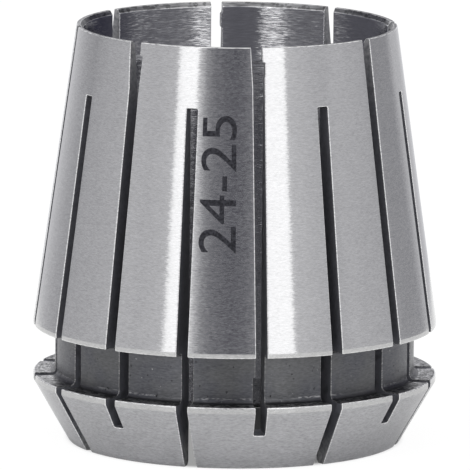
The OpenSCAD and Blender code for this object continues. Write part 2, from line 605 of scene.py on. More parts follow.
# Where a slot's wall runs out of true: the slot's azimuth in degrees from -Y, its side, the heights between
# which the wall is out, and how far it reaches into the slot at the lower and at the upper of them. A
# negative reach goes back into the metal
SLOT_STEPS = [
    (0.0, 1, 33.05 * MM, ABOVE, 0.16 * MM, 0.16 * MM),
    (0.0, 1, 31.85 * MM, 33.05 * MM, -0.05 * MM, -0.05 * MM),
    (0.0, -1, 31.0 * MM, ABOVE, 0.0, -0.23 * MM),
    (0.0, -1, 7.65 * MM, 9.4 * MM, 0.2 * MM, 0.2 * MM),
    (-45.0, 1, 33.15 * MM, ABOVE, 0.16 * MM, 0.16 * MM),
    (-45.0, 1, 30.2 * MM, 33.15 * MM, 0.0, -0.11 * MM),
    (-45.0, -1, 30.7 * MM, ABOVE, -0.04 * MM, -0.42 * MM),
    (180.0, -1, 32.1 * MM, 33.3 * MM, 0.13 * MM, 0.13 * MM),
    (-22.5, 1, BELOW, 0.5 * MM, -0.08 * MM, -0.08 * MM),
    *[(azimuth, side, BELOW, ABOVE, reach, reach) for azimuth, reach in WIDER_SLOTS for side in (1, -1)],
]
STEP_RISE = 0.05 * MM
STEP_FADE = 0.6 * MM
# Points further into the slot than this belong to its other wall
STEP_SIDE = 0.3 * MM


def step_rows(sizes):
    """Rows just below and above each step of a slot's wall."""
    heights = np.unique([height for step in SLOT_STEPS for height in step[2:4]])
    rows = np.concatenate([heights - STEP_RISE, heights + STEP_RISE])
    _, _, top_z = main_heights(sizes)
    return rows[(rows > END_MARGIN) & (rows < top_z - END_MARGIN)]


def step_walls(points, sizes):
    """Shifts the wall of a slot across the slot between two heights, and the metal behind it ever less.

    In the slot's frame, a point at the distance d behind the wall moves by the reach at its height times
    exp(-(d / STEP_FADE) ** 2), and the step rises and ends over STEP_RISE each way.
    """
    for azimuth, side, foot, top, *reaches in SLOT_STEPS:
        angle = math.radians(azimuth)
        across = np.array([math.cos(angle), math.sin(angle), 0.0]) * side
        outwards = np.array([math.sin(angle), -math.cos(angle), 0.0])
        behind = points @ across - sizes.slot_w / 2
        height = points[:, 2]
        inside = np.minimum(height - foot, top - height)
        share = np.clip(inside / STEP_RISE / 2 + 0.5, 0, 1) * np.exp(-((behind / STEP_FADE) ** 2))
        share *= (behind > -STEP_SIDE) & (points @ outwards > 0)
        reach = np.interp(height, [foot, top], reaches)
        points = points - (reach * share)[:, None] * across
    return points


def join_patches(patches):
    """The points, normals and wear of all patches, their cells with a finish for each, and the rings.

    A ring is the outline of a cap, which becomes one face with many corners.
    """
    points, normals, wear, quads, finishes, rings = [], [], [], [], [], []
    start = 0
    for made in patches:
        size = made["points"].reshape(-1, 3).shape[0]
        points.append(made["points"].reshape(-1, 3))
        normals.append(made["normals"].reshape(-1, 3))
        if "ring" in made:
            rings.append(start + np.arange(size))
            wear.append(np.zeros(size))
        else:
            wear.append(made["wear"].ravel())
            index = start + np.arange(size).reshape(made["points"].shape[:2])
            corners = [index[:-1, :-1], index[1:, :-1], index[1:, 1:], index[:-1, 1:]]
            quads.append(np.stack(corners, axis=-1).reshape(-1, 4))
            finishes.append(made["finish"].ravel())
        start += size
    return tuple(np.concatenate(part) for part in (points, normals, wear, quads, finishes)) + (rings,)


def sector_turns(slots_per_end):
    """Matrices that take the half sector to each place: turns of its mirror image, then plain turns."""
    angles = np.arange(slots_per_end) * 2 * math.pi / slots_per_end
    cos, sin = np.cos(angles), np.sin(angles)
    zero, one = np.zeros_like(angles), np.ones_like(angles)
    turned = np.stack([cos, -sin, zero, sin, cos, zero, zero, zero, one], axis=-1).reshape(-1, 3, 3)
    return np.concatenate([turned @ np.diag([1.0, -1.0, 1.0]), turned @ np.diag([-1.0, -1.0, 1.0])])


def outward(faces, points, normals):
    """The faces, each turned round if its corners run clockwise seen from where its normals point."""
    spread = points[faces]
    across = np.cross(spread - spread[:, :1], np.roll(spread, -1, axis=1) - spread[:, :1]).sum(axis=1)
    inside_out = (across * normals[faces].sum(axis=1)).sum(axis=1) < 0
    return np.where(inside_out[:, None], faces[:, ::-1], faces)


def build_mesh(name, points, normals, face_sets, finish_sets, wear):
    """A smooth mesh from sets of faces, where every face of one set has the same number of corners."""
    corners = np.concatenate([faces.ravel() for faces in face_sets])
    counts = np.concatenate([np.full(len(faces), faces.shape[1]) for faces in face_sets])
    mesh = bpy.data.meshes.new(name)
    mesh.vertices.add(len(points))
    mesh.vertices.foreach_set("co", points.astype(np.float32).ravel())
    mesh.loops.add(len(corners))
    mesh.loops.foreach_set("vertex_index", corners.astype(np.int32))
    mesh.polygons.add(len(counts))
    mesh.polygons.foreach_set("loop_start", (np.cumsum(counts) - counts).astype(np.int32))
    mesh.polygons.foreach_set("loop_total", counts.astype(np.int32))
    mesh.polygons.foreach_set("material_index", np.concatenate(finish_sets).astype(np.int32))
    mesh.polygons.foreach_set("use_smooth", np.ones(len(counts), bool))
    mesh.update(calc_edges=True)
    # Marks the rubbed edges, which the materials also brighten with a painted highlight
    mesh.attributes.new("wear", "FLOAT", "POINT").data.foreach_set("value", wear.astype(np.float32))
    mesh.normals_split_custom_set_from_vertices(normals.astype(np.float32))
    return mesh


def sleeve_mesh(sizes):
    """The sleeve: sixteen turned and mirrored half sectors, merged where their points meet."""
    points, normals, wear, quads, finishes, rings = join_patches(half_sector(sizes))
    turns = sector_turns(sizes.slots_per_end)
    shift = (np.arange(len(turns)) * len(points))[:, None, None]
    points = np.einsum("kij,nj->kni", turns, points).reshape(-1, 3)
    normals = np.einsum("kij,nj->kni", turns, normals).reshape(-1, 3)
    face_sets = [(quads + shift).reshape(-1, 4)] + [(ring + shift).reshape(-1, len(ring)) for ring in rings]
    finish_sets = [np.tile(finishes, len(turns))] + [np.full(len(turns), SAWN) for _ in rings]
    grid = np.round(points / MERGE_STEP + MERGE_OFFSET).astype(np.int64)
    _, first, merged = np.unique(grid, axis=0, return_index=True, return_inverse=True)
    merged = merged.reshape(-1)
    points = step_walls(points[first], sizes)
    normals = normals[first]
    wear = np.tile(wear, len(turns))[first]
    face_sets = [outward(merged[faces], points, normals) for faces in face_sets]
    return build_mesh("sleeve", points, normals, face_sets, finish_sets, wear)


# Shader building

# Noise swings by about a quarter each way round its mean, so this brings its swing to 1
NOISE_REACH = 4.0


def connect(tree, value, socket):
    """Links a socket's value to an input, or sets the input to a plain value."""
    if isinstance(value, bpy.types.NodeSocket):
        tree.links.new(value, socket)
    else:
        socket.default_value = value


def place(tree, kind, inputs=None, **settings):
    """Adds a node, sets its settings, and sets or links its inputs, which are given by name or number."""
    made = tree.nodes.new(kind)
    for name, value in settings.items():
        setattr(made, name, value)
    for key, value in (inputs or {}).items():
        connect(tree, value, made.inputs[key])
    return made


def maths(tree, operation, *values):
    """The result of a Math node, whose values are numbers or sockets."""
    return place(tree, "ShaderNodeMath", dict(enumerate(values)), operation=operation).outputs[0]


def vector_maths(tree, operation, *values):
    """The result of a Vector Math node, whose values are vectors or sockets."""
    return place(tree, "ShaderNodeVectorMath", dict(enumerate(values)), operation=operation).outputs[0]


def times(tree, first, second):
    """The product of two values."""
    return maths(tree, "MULTIPLY", first, second)


def off(tree, value, middle):
    """How far a value lies from a middle, either way."""
    return maths(tree, "ABSOLUTE", maths(tree, "SUBTRACT", value, middle))


def xyz(tree, vector):
    """The three parts of a vector."""
    return place(tree, "ShaderNodeSeparateXYZ", {0: vector}).outputs


def from_axis(tree, x, y):
    """How far a point with these coordinates lies from the axis."""
    squares = [maths(tree, "POWER", value, 2.0) for value in (x, y)]
    return maths(tree, "SQRT", maths(tree, "ADD", *squares))


def ranged(tree, value, low, high, to_low=0.0, to_high=1.0):
    """A value taken from one range to another, held at the ends."""
    inputs = {"Value": value, "From Min": low, "From Max": high, "To Min": to_low, "To Max": to_high}
    return place(tree, "ShaderNodeMapRange", inputs).outputs["Result"]


def fading(tree, value, low, high):
    """1 below this range of the value, and 0 above it."""
    return ranged(tree, value, low, high, 1.0, 0.0)


def shared_out(tree, share, first, second):
    """The sum of this share of one value and the rest of another."""
    return maths(tree, "ADD", times(tree, first, share), times(tree, second, 1 - share))


def noise_at(tree, position, per_mm, detail=1.0):
    """The outputs of a noise texture with this many grains to the millimetre: 0 is a value, 1 a colour."""
    inputs = {"Vector": position, "Scale": per_mm / MM, "Detail": detail}
    return place(tree, "ShaderNodeTexNoise", inputs).outputs


def mixed(tree, share, first, second):
    """A colour between two, by a share."""
    made = place(tree, "ShaderNodeMix", data_type="RGBA")
    colours = [socket for socket in made.inputs if socket.type == "RGBA"]
    for socket, value in zip([made.inputs[0], *colours], (share, first, second)):
        connect(tree, value, socket)
    return next(socket for socket in made.outputs if socket.type == "RGBA")


def opaque(colour, share=1.0):
    """A colour with alpha, darkened or lightened by a share and kept within what a surface can reflect."""
    return (*[min(channel * share, 1.0) for channel in colour], 1.0)


def toned(tree, share, colour, low, high):
    """A colour that goes, with the share, from low times to high times as bright."""
    return mixed(tree, share, opaque(colour, low), opaque(colour, high))


def shader_group(name, inputs, outputs):
    """An empty node group with named sockets: (tree, its input node, its output node)."""
    tree = bpy.data.node_groups.new(name, "ShaderNodeTree")
    for socket_name, kind, default in inputs:
        socket = tree.interface.new_socket(name=socket_name, in_out="INPUT", socket_type=kind)
        if default is not None:
            socket.default_value = default
    for socket_name, kind in outputs:
        tree.interface.new_socket(name=socket_name, in_out="OUTPUT", socket_type=kind)
    return tree, tree.nodes.new("NodeGroupInput"), tree.nodes.new("NodeGroupOutput")


# How many times as long and as wide as the short marks the long ones are
LONG_MARKS = (3.0, 2.0)
# Share of the short marks in the tone, where the rest is that of the long ones
SHORT_SHARE = 0.8


def marks_group():
    """Fine marks that run round the axis, as tones and as a tilted normal.

    The noise is read at x / Length, y / Length, z / Width and r / Width, so that its marks run round the axis
    on cones, in the bore and on flat faces alike. A short and a long set are laid over each other. Marks is
    their sum from 0 to 1, and Patches is a broad, soft variation. Normal is the surface's own, tilted round
    the axis by up to about Tilt and along it by up to about Ripple, each by a channel of its own.
    """
    inputs = [
        ("Position", "NodeSocketVector", None),
        ("Length", "NodeSocketFloat", 0.7 * MM),
        ("Width", "NodeSocketFloat", 0.15 * MM),
        ("Tilt", "NodeSocketFloat", 0.03),
        ("Ripple", "NodeSocketFloat", 0.05),
    ]
    outputs = [("Marks", "NodeSocketFloat"), ("Patches", "NodeSocketFloat"), ("Normal", "NodeSocketVector")]
    tree, given, result = shader_group("Marks round the axis", inputs, outputs)
    position = given.outputs["Position"]
    x, y, _ = xyz(tree, position)
    radius = from_axis(tree, x, y)
    layers = []
    for length_share, width_share in ((1.0, 1.0), LONG_MARKS):
        length = times(tree, given.outputs["Length"], length_share)
        width = times(tree, given.outputs["Width"], width_share)
        size = place(tree, "ShaderNodeCombineXYZ", {"X": length, "Y": length, "Z": width}).outputs[0]
        inputs = {
            "Vector": vector_maths(tree, "DIVIDE", position, size),
            "W": maths(tree, "DIVIDE", radius, width),
            "Scale": 1.0,
            "Detail": 1.0,
            "Roughness": 0.6,
        }
        colour = place(tree, "ShaderNodeTexNoise", inputs, noise_dimensions="4D").outputs[1]
        layers.append(place(tree, "ShaderNodeSeparateColor", {0: colour}).outputs)
    short, long = layers
    marks = shared_out(tree, SHORT_SHARE, short[0], long[0])
    plain = place(tree, "ShaderNodeNewGeometry").outputs["Normal"]
    around = vector_maths(tree, "NORMALIZE", vector_maths(tree, "CROSS_PRODUCT", (0, 0, 1), position))
    along = vector_maths(tree, "CROSS_PRODUCT", plain, around)
    normal = plain
    for direction, layer, reach in ((around, short[1], "Tilt"), (along, short[2], "Ripple")):
        angle = times(tree, maths(tree, "SUBTRACT", layer, 0.5), NOISE_REACH)
        inputs = {0: direction, "Scale": times(tree, angle, given.outputs[reach])}
        turn = place(tree, "ShaderNodeVectorMath", inputs, operation="SCALE").outputs[0]
        normal = vector_maths(tree, "ADD", normal, turn)
    tree.links.new(ranged(tree, marks, 0.3, 0.7), result.inputs["Marks"])
    tree.links.new(noise_at(tree, position, 0.3, detail=2.0)[0], result.inputs["Patches"])
    tree.links.new(vector_maths(tree, "NORMALIZE", normal), result.inputs["Normal"])
    return tree


# How far the noise that makes pits ragged shifts them
PIT_WANDER = 0.25 * MM


def pits_group():
    """Small scattered pits: Pits is 1 in the middle of a pit and 0 on the plain surface between them."""
    inputs = [
        ("Position", "NodeSocketVector", None),
        ("Spacing", "NodeSocketFloat", 0.9 * MM),
        ("Size", "NodeSocketFloat", 0.16),
    ]
    tree, given, result = shader_group("Scattered pits", inputs, [("Pits", "NodeSocketFloat")])
    position = given.outputs["Position"]
    scale = maths(tree, "DIVIDE", 1.0, given.outputs["Spacing"])
    wander = vector_maths(tree, "MULTIPLY", noise_at(tree, position, 6.0)[1], (PIT_WANDER,) * 3)
    moved = vector_maths(tree, "ADD", position, wander)
    cells = place(tree, "ShaderNodeTexVoronoi", {"Vector": moved, "Scale": scale, "Randomness": 1.0})
    lot = place(tree, "ShaderNodeSeparateColor", {0: cells.outputs["Color"]}).outputs[0]
    size = times(tree, given.outputs["Size"], lot)
    depth = maths(tree, "SUBTRACT", 1.0, maths(tree, "DIVIDE", cells.outputs["Distance"], size))
    tree.links.new(maths(tree, "MAXIMUM", depth, 0.0), result.inputs["Pits"])
    return tree


def use_marks(tree, groups, position, length, width, tilt, ripple):
    """The outputs of the marks round the axis, with their length and width in millimetres."""
    inputs = {
        "Position": position,
        "Length": length * MM,
        "Width": width * MM,
        "Tilt": tilt,
        "Ripple": ripple,
    }
    return place(tree, "ShaderNodeGroup", inputs, node_tree=groups["marks"]).outputs


def use_pits(tree, groups, position, spacing, size):
    """Scattered pits, with their spacing in millimetres and the largest radius as a share of it."""
    inputs = {"Position": position, "Spacing": spacing * MM, "Size": size}
    return place(tree, "ShaderNodeGroup", inputs, node_tree=groups["pits"]).outputs["Pits"]


def new_material(name):
    """A material with an empty node tree: (material, tree, Object coordinates)."""
    material = bpy.data.materials.new(name)
    material.use_nodes = True
    tree = material.node_tree
    tree.nodes.clear()
    position = place(tree, "ShaderNodeTexCoord").outputs["Object"]
    return material, tree, position


def finish_surface(tree, colour, roughness, anisotropic, normal, metallic=1.0):
    """Ends a material in a surface whose gloss is drawn out along the axis, across the marks.

    The tangent runs round the axis, so the gloss is turned from it by a quarter turn.
    """
    tangent = place(tree, "ShaderNodeTangent", direction_type="RADIAL", axis="Z")
    inputs = {
        "Base Color": colour,
        "Metallic": metallic,
        "Roughness": roughness,
        "Anisotropic": anisotropic,
        "Anisotropic Rotation": 0.25,
        "Normal": normal,
        "Tangent": tangent.outputs[0],
    }
    surface = place(tree, "ShaderNodeBsdfPrincipled", inputs)
    place(tree, "ShaderNodeOutputMaterial", {"Surface": surface.outputs[0]})


# How many times as bright as the ground steel its rubbed edges are, partly wear and partly painted highlight
RUBBED_HIGHLIGHT_TONE = 2.0
# What is left of the metallic value where an edge is rubbed through to fine burrs, so that its bright colour
# also shows as a painted highlight
RUBBED_HIGHLIGHT_METALLIC = 0.25


def rub_and_highlight_share(tree, marks):
    """How rubbed a broken edge is, which also sets its painted highlight: unevenly, as the marks run over it.
    """
    wear = place(tree, "ShaderNodeAttribute", attribute_name="wear").outputs["Fac"]
    return times(tree, wear, ranged(tree, marks, 0.1, 0.7, 0.3, 1.0))


def rubbed_and_highlit(tree, colour, bright, metallic, marks):
    """A colour that turns to another along the rubbed broken edges, partly a painted highlight, and a
    metallic value that falls there.
    """
    share = rub_and_highlight_share(tree, marks)
    metallic = times(tree, metallic, ranged(tree, share, 0.0, 1.0, 1.0, RUBBED_HIGHLIGHT_METALLIC))
    return mixed(tree, share, colour, bright), metallic


# Share of the marks in the tone of ground steel, where the rest is that of the broad patches
MARKS_SHARE = 0.8


def ground_material(name, colour, spread, finish, groups):
    """Ground steel: fine marks round the axis that scatter a little light, and rubbed broken edges with a
    painted highlight.

    The scattered light shows most where the steel mirrors something dark. spread is how far the marks change
    the colour's tone each way.
    """
    material, tree, position = new_material(name)
    marks = use_marks(tree, groups, position, 0.3, 0.08, finish.tilt, 2 * finish.tilt)
    tone = shared_out(tree, MARKS_SHARE, marks["Marks"], marks["Patches"])
    tone = toned(tree, tone, colour, 1 - spread, 1 + spread)
    metallic = ranged(tree, marks["Marks"], 0.0, 1.0, 1.0, 0.86)
    tone, metallic = rubbed_and_highlit(tree, tone, opaque(finish.steel, RUBBED_HIGHLIGHT_TONE), metallic, marks["Marks"])
    roughness = ranged(tree, marks["Marks"], 0.0, 1.0, 0.11, 0.15)
    finish_surface(tree, tone, roughness, 0.9, marks["Normal"], metallic)
    return material


# Heights between which the turned faces pass from the look of the groove's side to that of the rear face
FACED_CHANGE = (6.5 * MM, 9.0 * MM)
# The tone of dark curls and pits, as a share of the groove's
DARK_PIT = 0.4


def faced_material(finish, groups):
    """The turned end faces: greyer than the ground steel, with small nicks and pits.

    The face of the front ring, beside the groove, is also scored with dark curls. Its pits are darker, and so
    are its edges along the slots.
    """
    material, tree, position = new_material("turned_faces")
    marks = use_marks(tree, groups, position, 1.0, 0.12, 0.1, 0.15)
    at_ring = fading(tree, xyz(tree, position)[2], *FACED_CHANGE)
    light = toned(tree, at_ring, finish.faced, 1.5, 2.1)
    tone = mixed(tree, marks["Marks"], opaque(finish.faced, 0.5), light)
    # Rubbed edges: at the rear face partly a painted highlight, at the ring darker
    edge = mixed(tree, at_ring, opaque(finish.steel, RUBBED_HIGHLIGHT_TONE), opaque(finish.groove, DARK_PIT))
    tone, metallic = rubbed_and_highlit(tree, tone, edge, 1.0, marks["Marks"])
    off_curl = off(tree, noise_at(tree, position, 1.6)[0], 0.5)
    curls = times(tree, at_ring, fading(tree, off_curl, 0.01, 0.045))
    deep = ranged(tree, at_ring, 0.0, 1.0, 0.55, 1.0)
    pits = times(tree, ranged(tree, use_pits(tree, groups, position, 0.4, 0.9), 0.0, 0.3), deep)
    tone = mixed(tree, maths(tree, "MAXIMUM", pits, curls), tone, opaque(finish.groove, DARK_PIT))
    finish_surface(tree, tone, 0.35, 0.6, marks["Normal"], metallic)
    return material


# How far the lit flanks of the bore's turning marks lean up towards the rear, and what is left of it deep
# inside, below these heights, where the bore's tone is also lighter with painted light
FLANK_LEAN = 0.36
DEEP_LEAN = 0.4 * FLANK_LEAN
BORE_DEEP = (29.3 * MM, 30.3 * MM)
# Where the painted shade at the bore's foot ends, in height and in x
FOOT_SHADE_TOP = (2.45 * MM, 2.6 * MM)
FOOT_SHADE_SIDE = (0.5 * MM, 1.5 * MM)
# Where the painted light at the bore's foot ends, in height and in x
FOOT_LIGHT_TOP = (5.0 * MM, 7.0 * MM)
FOOT_LIGHT_SIDE = (-1.5 * MM, -0.5 * MM)


def bore_material(finish, groups):
    """The turned bore: coarser marks than on the cones, whose lit flanks lean up towards the rear mouth.

    Deep inside they lean less, and painted light makes their tone lighter. The bore's foot has painted shade
    on one side and painted light on the other.
    """
    material, tree, position = new_material("turned_bore")
    marks = use_marks(tree, groups, position, 0.6, 0.055, 0.05, 0.12)
    side, _, height = xyz(tree, position)
    deep = fading(tree, height, *BORE_DEEP)
    tone = toned(tree, marks["Marks"], finish.bore, 0.85, 1.15)
    # Painted light: the tone deep inside the bore is lighter
    tone = mixed(tree, deep, tone, toned(tree, marks["Marks"], finish.bore, 1.05, 1.4))
    # Rubbed edges, partly a painted highlight
    tone = mixed(tree, rub_and_highlight_share(tree, marks["Marks"]), tone, opaque(finish.steel, RUBBED_HIGHLIGHT_TONE))
    # Painted shade at the bore's foot, on one side
    scale = times(tree, fading(tree, height, *FOOT_SHADE_TOP), ranged(tree, side, *FOOT_SHADE_SIDE))
    tone = mixed(tree, scale, tone, opaque(finish.bore, 0.6))
    # Painted light at the bore's foot, on the other side
    bright = times(tree, fading(tree, height, *FOOT_LIGHT_TOP), fading(tree, side, *FOOT_LIGHT_SIDE))
    tone = mixed(tree, bright, tone, opaque(finish.bore, 2.0))
    lean = ranged(tree, deep, 0.0, 1.0, FLANK_LEAN, DEEP_LEAN)
    up = place(tree, "ShaderNodeCombineXYZ", {"Z": lean}).outputs[0]
    flank = vector_maths(tree, "NORMALIZE", vector_maths(tree, "ADD", marks["Normal"], up))
    finish_surface(tree, tone, 0.12, 0.9, flank)
    return material


# A broken bright line runs round the groove above its lower fillet: its height, and where it fades either way
GROOVE_LINE = 5.88 * MM
GROOVE_LINE_FADE = (0.03 * MM, 0.1 * MM)
# Shift between the groove's dark pits and its light specks, so that they fall apart, and a pit's depth
SPECK_SHIFT = (3.3 * MM, 0.0, 0.0)
PIT_DEPTH = 0.03 * MM


def groove_material(finish, groups):
    """The nut groove: dark heat-tinted steel with turning marks, pits, specks and a broken bright line."""
    material, tree, position = new_material("tinted_groove")
    marks = use_marks(tree, groups, position, 0.35, 0.1, 0.06, 0.12)
    pits = use_pits(tree, groups, position, 0.6, 0.22)
    patches = ranged(tree, marks["Patches"], 0.4, 0.6)
    colour = mixed(tree, patches, opaque(finish.groove), opaque(finish.tint))
    colour = mixed(tree, times(tree, marks["Marks"], 0.45), colour, opaque(finish.groove, 2.0))
    colour = mixed(tree, ranged(tree, pits, 0.0, 0.5, 0.0, 0.8), colour, opaque(finish.groove, 0.3))
    specks = use_pits(tree, groups, vector_maths(tree, "ADD", position, SPECK_SHIFT), 0.6, 0.14)
    colour = mixed(tree, ranged(tree, specks, 0.2, 0.6, 0.0, 0.7), colour, opaque(finish.steel))
    line = fading(tree, off(tree, xyz(tree, position)[2], GROOVE_LINE), *GROOVE_LINE_FADE)
    line = times(tree, line, ranged(tree, marks["Marks"], 0.4, 0.8, 0.0, 0.6))
    line = times(tree, line, ranged(tree, marks["Patches"], 0.49, 0.55))
    colour = mixed(tree, line, colour, opaque(finish.steel, 1.2))
    # Rubbed edges, partly a painted highlight
    worn = ranged(tree, marks["Marks"], 0.5, 0.75)
    colour, metallic = rubbed_and_highlit(tree, colour, opaque(finish.steel), 1.0, worn)
    height = maths(tree, "SUBTRACT", 1.0, pits)
    bump = {"Strength": 1.0, "Distance": PIT_DEPTH, "Height": height, "Normal": marks["Normal"]}
    finish_surface(tree, colour, 0.4, 0.5, place(tree, "ShaderNodeBump", bump).outputs[0], metallic)
    return material


# Heights on the slot walls: where the heat tint at their foot fades, where painted light begins towards the
# rear, where the painted light at the front ends, and where the stains fade
WALL_TINT = (7.0 * MM, 11.0 * MM)
WALL_REAR_LIGHT = (28.5 * MM, 33.0 * MM)
WALL_FRONT_LIGHT = (0.5 * MM, 3.0 * MM)
WALL_STAINS = (8.0 * MM, 14.0 * MM)


def slot_material(finish, groups):
    """The sawn slot walls: oxide-dark, with faint saw marks, and lighter at both ends with painted light.

    Their lower part has a lighter heat tint and dark stains.
    """
    material, tree, position = new_material("sawn_slots")
    marks = use_marks(tree, groups, position, 0.6, 0.3, 0.015, 0.02)
    colour = toned(tree, marks["Marks"], finish.slot, 0.85, 1.2)
    height = xyz(tree, position)[2]
    tint = ranged(tree, height, *WALL_TINT, 0.35, 0.0)
    colour = mixed(tree, tint, colour, opaque(finish.tint, 3.0))
    # Painted light on the walls towards the rear and at the front end, uneven with the marks
    light_at_rear = ranged(tree, height, *WALL_REAR_LIGHT, 0.0, 0.6)
    end_light = maths(tree, "MAXIMUM", light_at_rear, fading(tree, height, *WALL_FRONT_LIGHT))
    end_light = times(tree, end_light, ranged(tree, marks["Marks"], 0.2, 0.8, 0.3, 1.0))
    colour = mixed(tree, end_light, colour, opaque(finish.faced, 1.5))
    stain = ranged(tree, noise_at(tree, position, 0.8)[0], 0.56, 0.66, 0.0, 0.4)
    stain = times(tree, stain, fading(tree, height, *WALL_STAINS))
    colour = mixed(tree, stain, colour, opaque(finish.slot, 0.25))
    finish_surface(tree, colour, 0.5, 0.0, marks["Normal"], metallic=0.5)
    return material


# How far the etched digits' surface is roughened
ETCH_DEPTH = 0.003 * MM


def etched_material(marking):
    """The etched digits: dark and matt, a little lighter in places."""
    material, tree, position = new_material("etched_digits")
    speckle = noise_at(tree, position, 5.0, detail=2.0)[0]
    colour = toned(tree, ranged(tree, speckle, 0.35, 0.65), marking.colour, 1.0, 2.2)
    bump = place(tree, "ShaderNodeBump", {"Strength": 1.0, "Distance": ETCH_DEPTH, "Height": speckle})
    finish_surface(tree, colour, 0.6, 0.0, bump.outputs[0])
    return material


# Size marking


# Vertices of the text closer than this are one, and edges that turn by less than this angle are dissolved
TEXT_MERGE = 1e-3
TEXT_FLAT = 0.01
# Cuts along the line of digits, so that it bends round the taper
DIGIT_CUTS = 12
# How deep the digits' mesh is, and how far its middle is sunk below the taper
DIGIT_DEPTH = 0.03 * MM
DIGIT_SINK = 0.007 * MM


def cut_text(body):
    """A line of text along X as a closed mesh with cuts that let it bend, and the two corners of its box."""
    curve = bpy.data.curves.new("digits", "FONT")
    curve.body = body
    curve.align_y = "CENTER"
    curve.extrude = 0.5
    flat = bpy.data.objects.new("digits", curve)
    bpy.context.scene.collection.objects.link(flat)
    bpy.context.view_layer.update()
    mesh = bpy.data.meshes.new_from_object(flat.evaluated_get(bpy.context.evaluated_depsgraph_get()))
    bpy.data.objects.remove(flat)
    bpy.data.curves.remove(curve)
    shape = bmesh.new()
    shape.from_mesh(mesh)
    bmesh.ops.remove_doubles(shape, verts=shape.verts, dist=TEXT_MERGE)
    bmesh.ops.dissolve_limit(shape, angle_limit=TEXT_FLAT, verts=shape.verts, edges=shape.edges)
    points = np.array([vertex.co[:] for vertex in shape.verts])
    low, high = points.min(axis=0), points.max(axis=0)
    for height in np.linspace(low[1], high[1], DIGIT_CUTS + 2)[1:-1]:
        everything = [*shape.verts, *shape.edges, *shape.faces]
        bmesh.ops.bisect_plane(shape, geom=everything, plane_co=(0, height, 0), plane_no=(0, 1, 0))
    bmesh.ops.triangulate(shape, faces=shape.faces)
    bmesh.ops.recalc_face_normals(shape, faces=shape.faces)
    shape.to_mesh(mesh)
    shape.free()
    return mesh, low, high


def wrapped_digits(marking, sizes):
    """The line of digits as a thin closed mesh, which runs up the long taper and is wrapped round it.

    The text's x becomes the height z along the taper, its y becomes the angle round the axis, and its depth
    is measured square to the taper. The angle is y / r, where r is the mean of the taper's radii there.
    """
    mesh, low, high = cut_text(marking.digits)
    points = np.empty(len(mesh.vertices) * 3, np.float32)
    mesh.vertices.foreach_get("co", points)
    points = points.reshape(-1, 3).astype(float)
    along = (points[:, 0] - low[0]) / (high[0] - low[0]) * marking.line_length
    across = -(points[:, 1] - (low[1] + high[1]) / 2) / (high[1] - low[1]) * marking.cap_height
    lift = points[:, 2] * DIGIT_DEPTH - DIGIT_SINK
    z = marking.foot_z + along * math.cos(sizes.seat_angle)
    taper_r = sizes.land_r - (z - sizes.seat_z) * math.tan(sizes.seat_angle)
    angle = marking.azimuth + across / taper_r.mean()
    r = taper_r + lift * math.cos(sizes.seat_angle)
    z = z + lift * math.sin(sizes.seat_angle)
    placed = np.stack([r * np.sin(angle), -r * np.cos(angle), z], axis=-1)
    mesh.vertices.foreach_set("co", placed.astype(np.float32).ravel())
    mesh.update()
    return mesh


# Studio


def turned_surface(name, radii, heights, steps=96):
    """A surface of revolution: the points (r sin a, -r cos a, z) for each r, z of a profile and each angle a.

    Its UV map holds the angle's share of a full turn, from +Y round by -X, and the share of the profile.
    """
    share = np.linspace(0, 1, steps + 1)
    angle = 2 * math.pi * (share - 0.5)
    rise = np.linspace(0, 1, len(radii))
    x = np.outer(radii, np.sin(angle))
    y = -np.outer(radii, np.cos(angle))
    z = np.repeat(heights, steps + 1)
    index = np.arange(len(radii) * (steps + 1)).reshape(len(radii), steps + 1)
    cells = np.stack([index[:-1, :-1], index[:-1, 1:], index[1:, 1:], index[1:, :-1]], axis=-1).reshape(-1, 4)
    mesh = bpy.data.meshes.new(name)
    mesh.from_pydata(np.stack([x.ravel(), y.ravel(), z], axis=-1).tolist(), [], cells.tolist())
    grid = np.stack([np.tile(share, len(radii)), np.repeat(rise, steps + 1)], axis=-1)
    uv = mesh.uv_layers.new(name="UVMap")
    uv.data.foreach_set("uv", grid[cells.ravel()].astype(np.float32).ravel())
    mesh.polygons.foreach_set("use_smooth", np.ones(len(cells), bool))
    mesh.update()
    return mesh


def seen_in_mirror(tree, path):
    """1 for glossy and transmission rays, from the outputs of a Light Path node."""
    return maths(tree, "MAXIMUM", path["Is Glossy Ray"], path["Is Transmission Ray"])


def seen_directly(tree):
    """1 for camera, glossy and transmission rays, and 0 for the rays that light other surfaces."""
    path = place(tree, "ShaderNodeLightPath").outputs
    return maths(tree, "MAXIMUM", path["Is Camera Ray"], seen_in_mirror(tree, path))


# Radii between which the lift of the floor grows, where the camera sees it and where a reflection does
LIFT_RADII = (12.5 * MM, 14.0 * MM)
MIRRORED_LIFT_RADII = (14.0 * MM, 45.0 * MM)
# The y between which painted shade darkens the floor inside the bore towards the back, and what is left of
# its colour
BORE_SHADE = (-7.0 * MM, -3.0 * MM)
SHADED_FLOOR = 0.15
# Distances from the camera's line of sight between which the left of that floor ends, which takes painted
# shade and painted light. The slope is about the tangent of the camera's azimuth
LEFT_END = (-2.0 * MM, -1.0 * MM)
SIGHT_SLOPE = 0.135
# How much of the lift, a painted light that only the camera sees, there is inside the bore, at the front and
# on the left
FRONT_PAINTED_LIGHT = 0.06
LEFT_PAINTED_LIGHT = 0.34
# A little over 1, so that the lifted floor is white in the picture
FLOOR_GLOW = 1.05


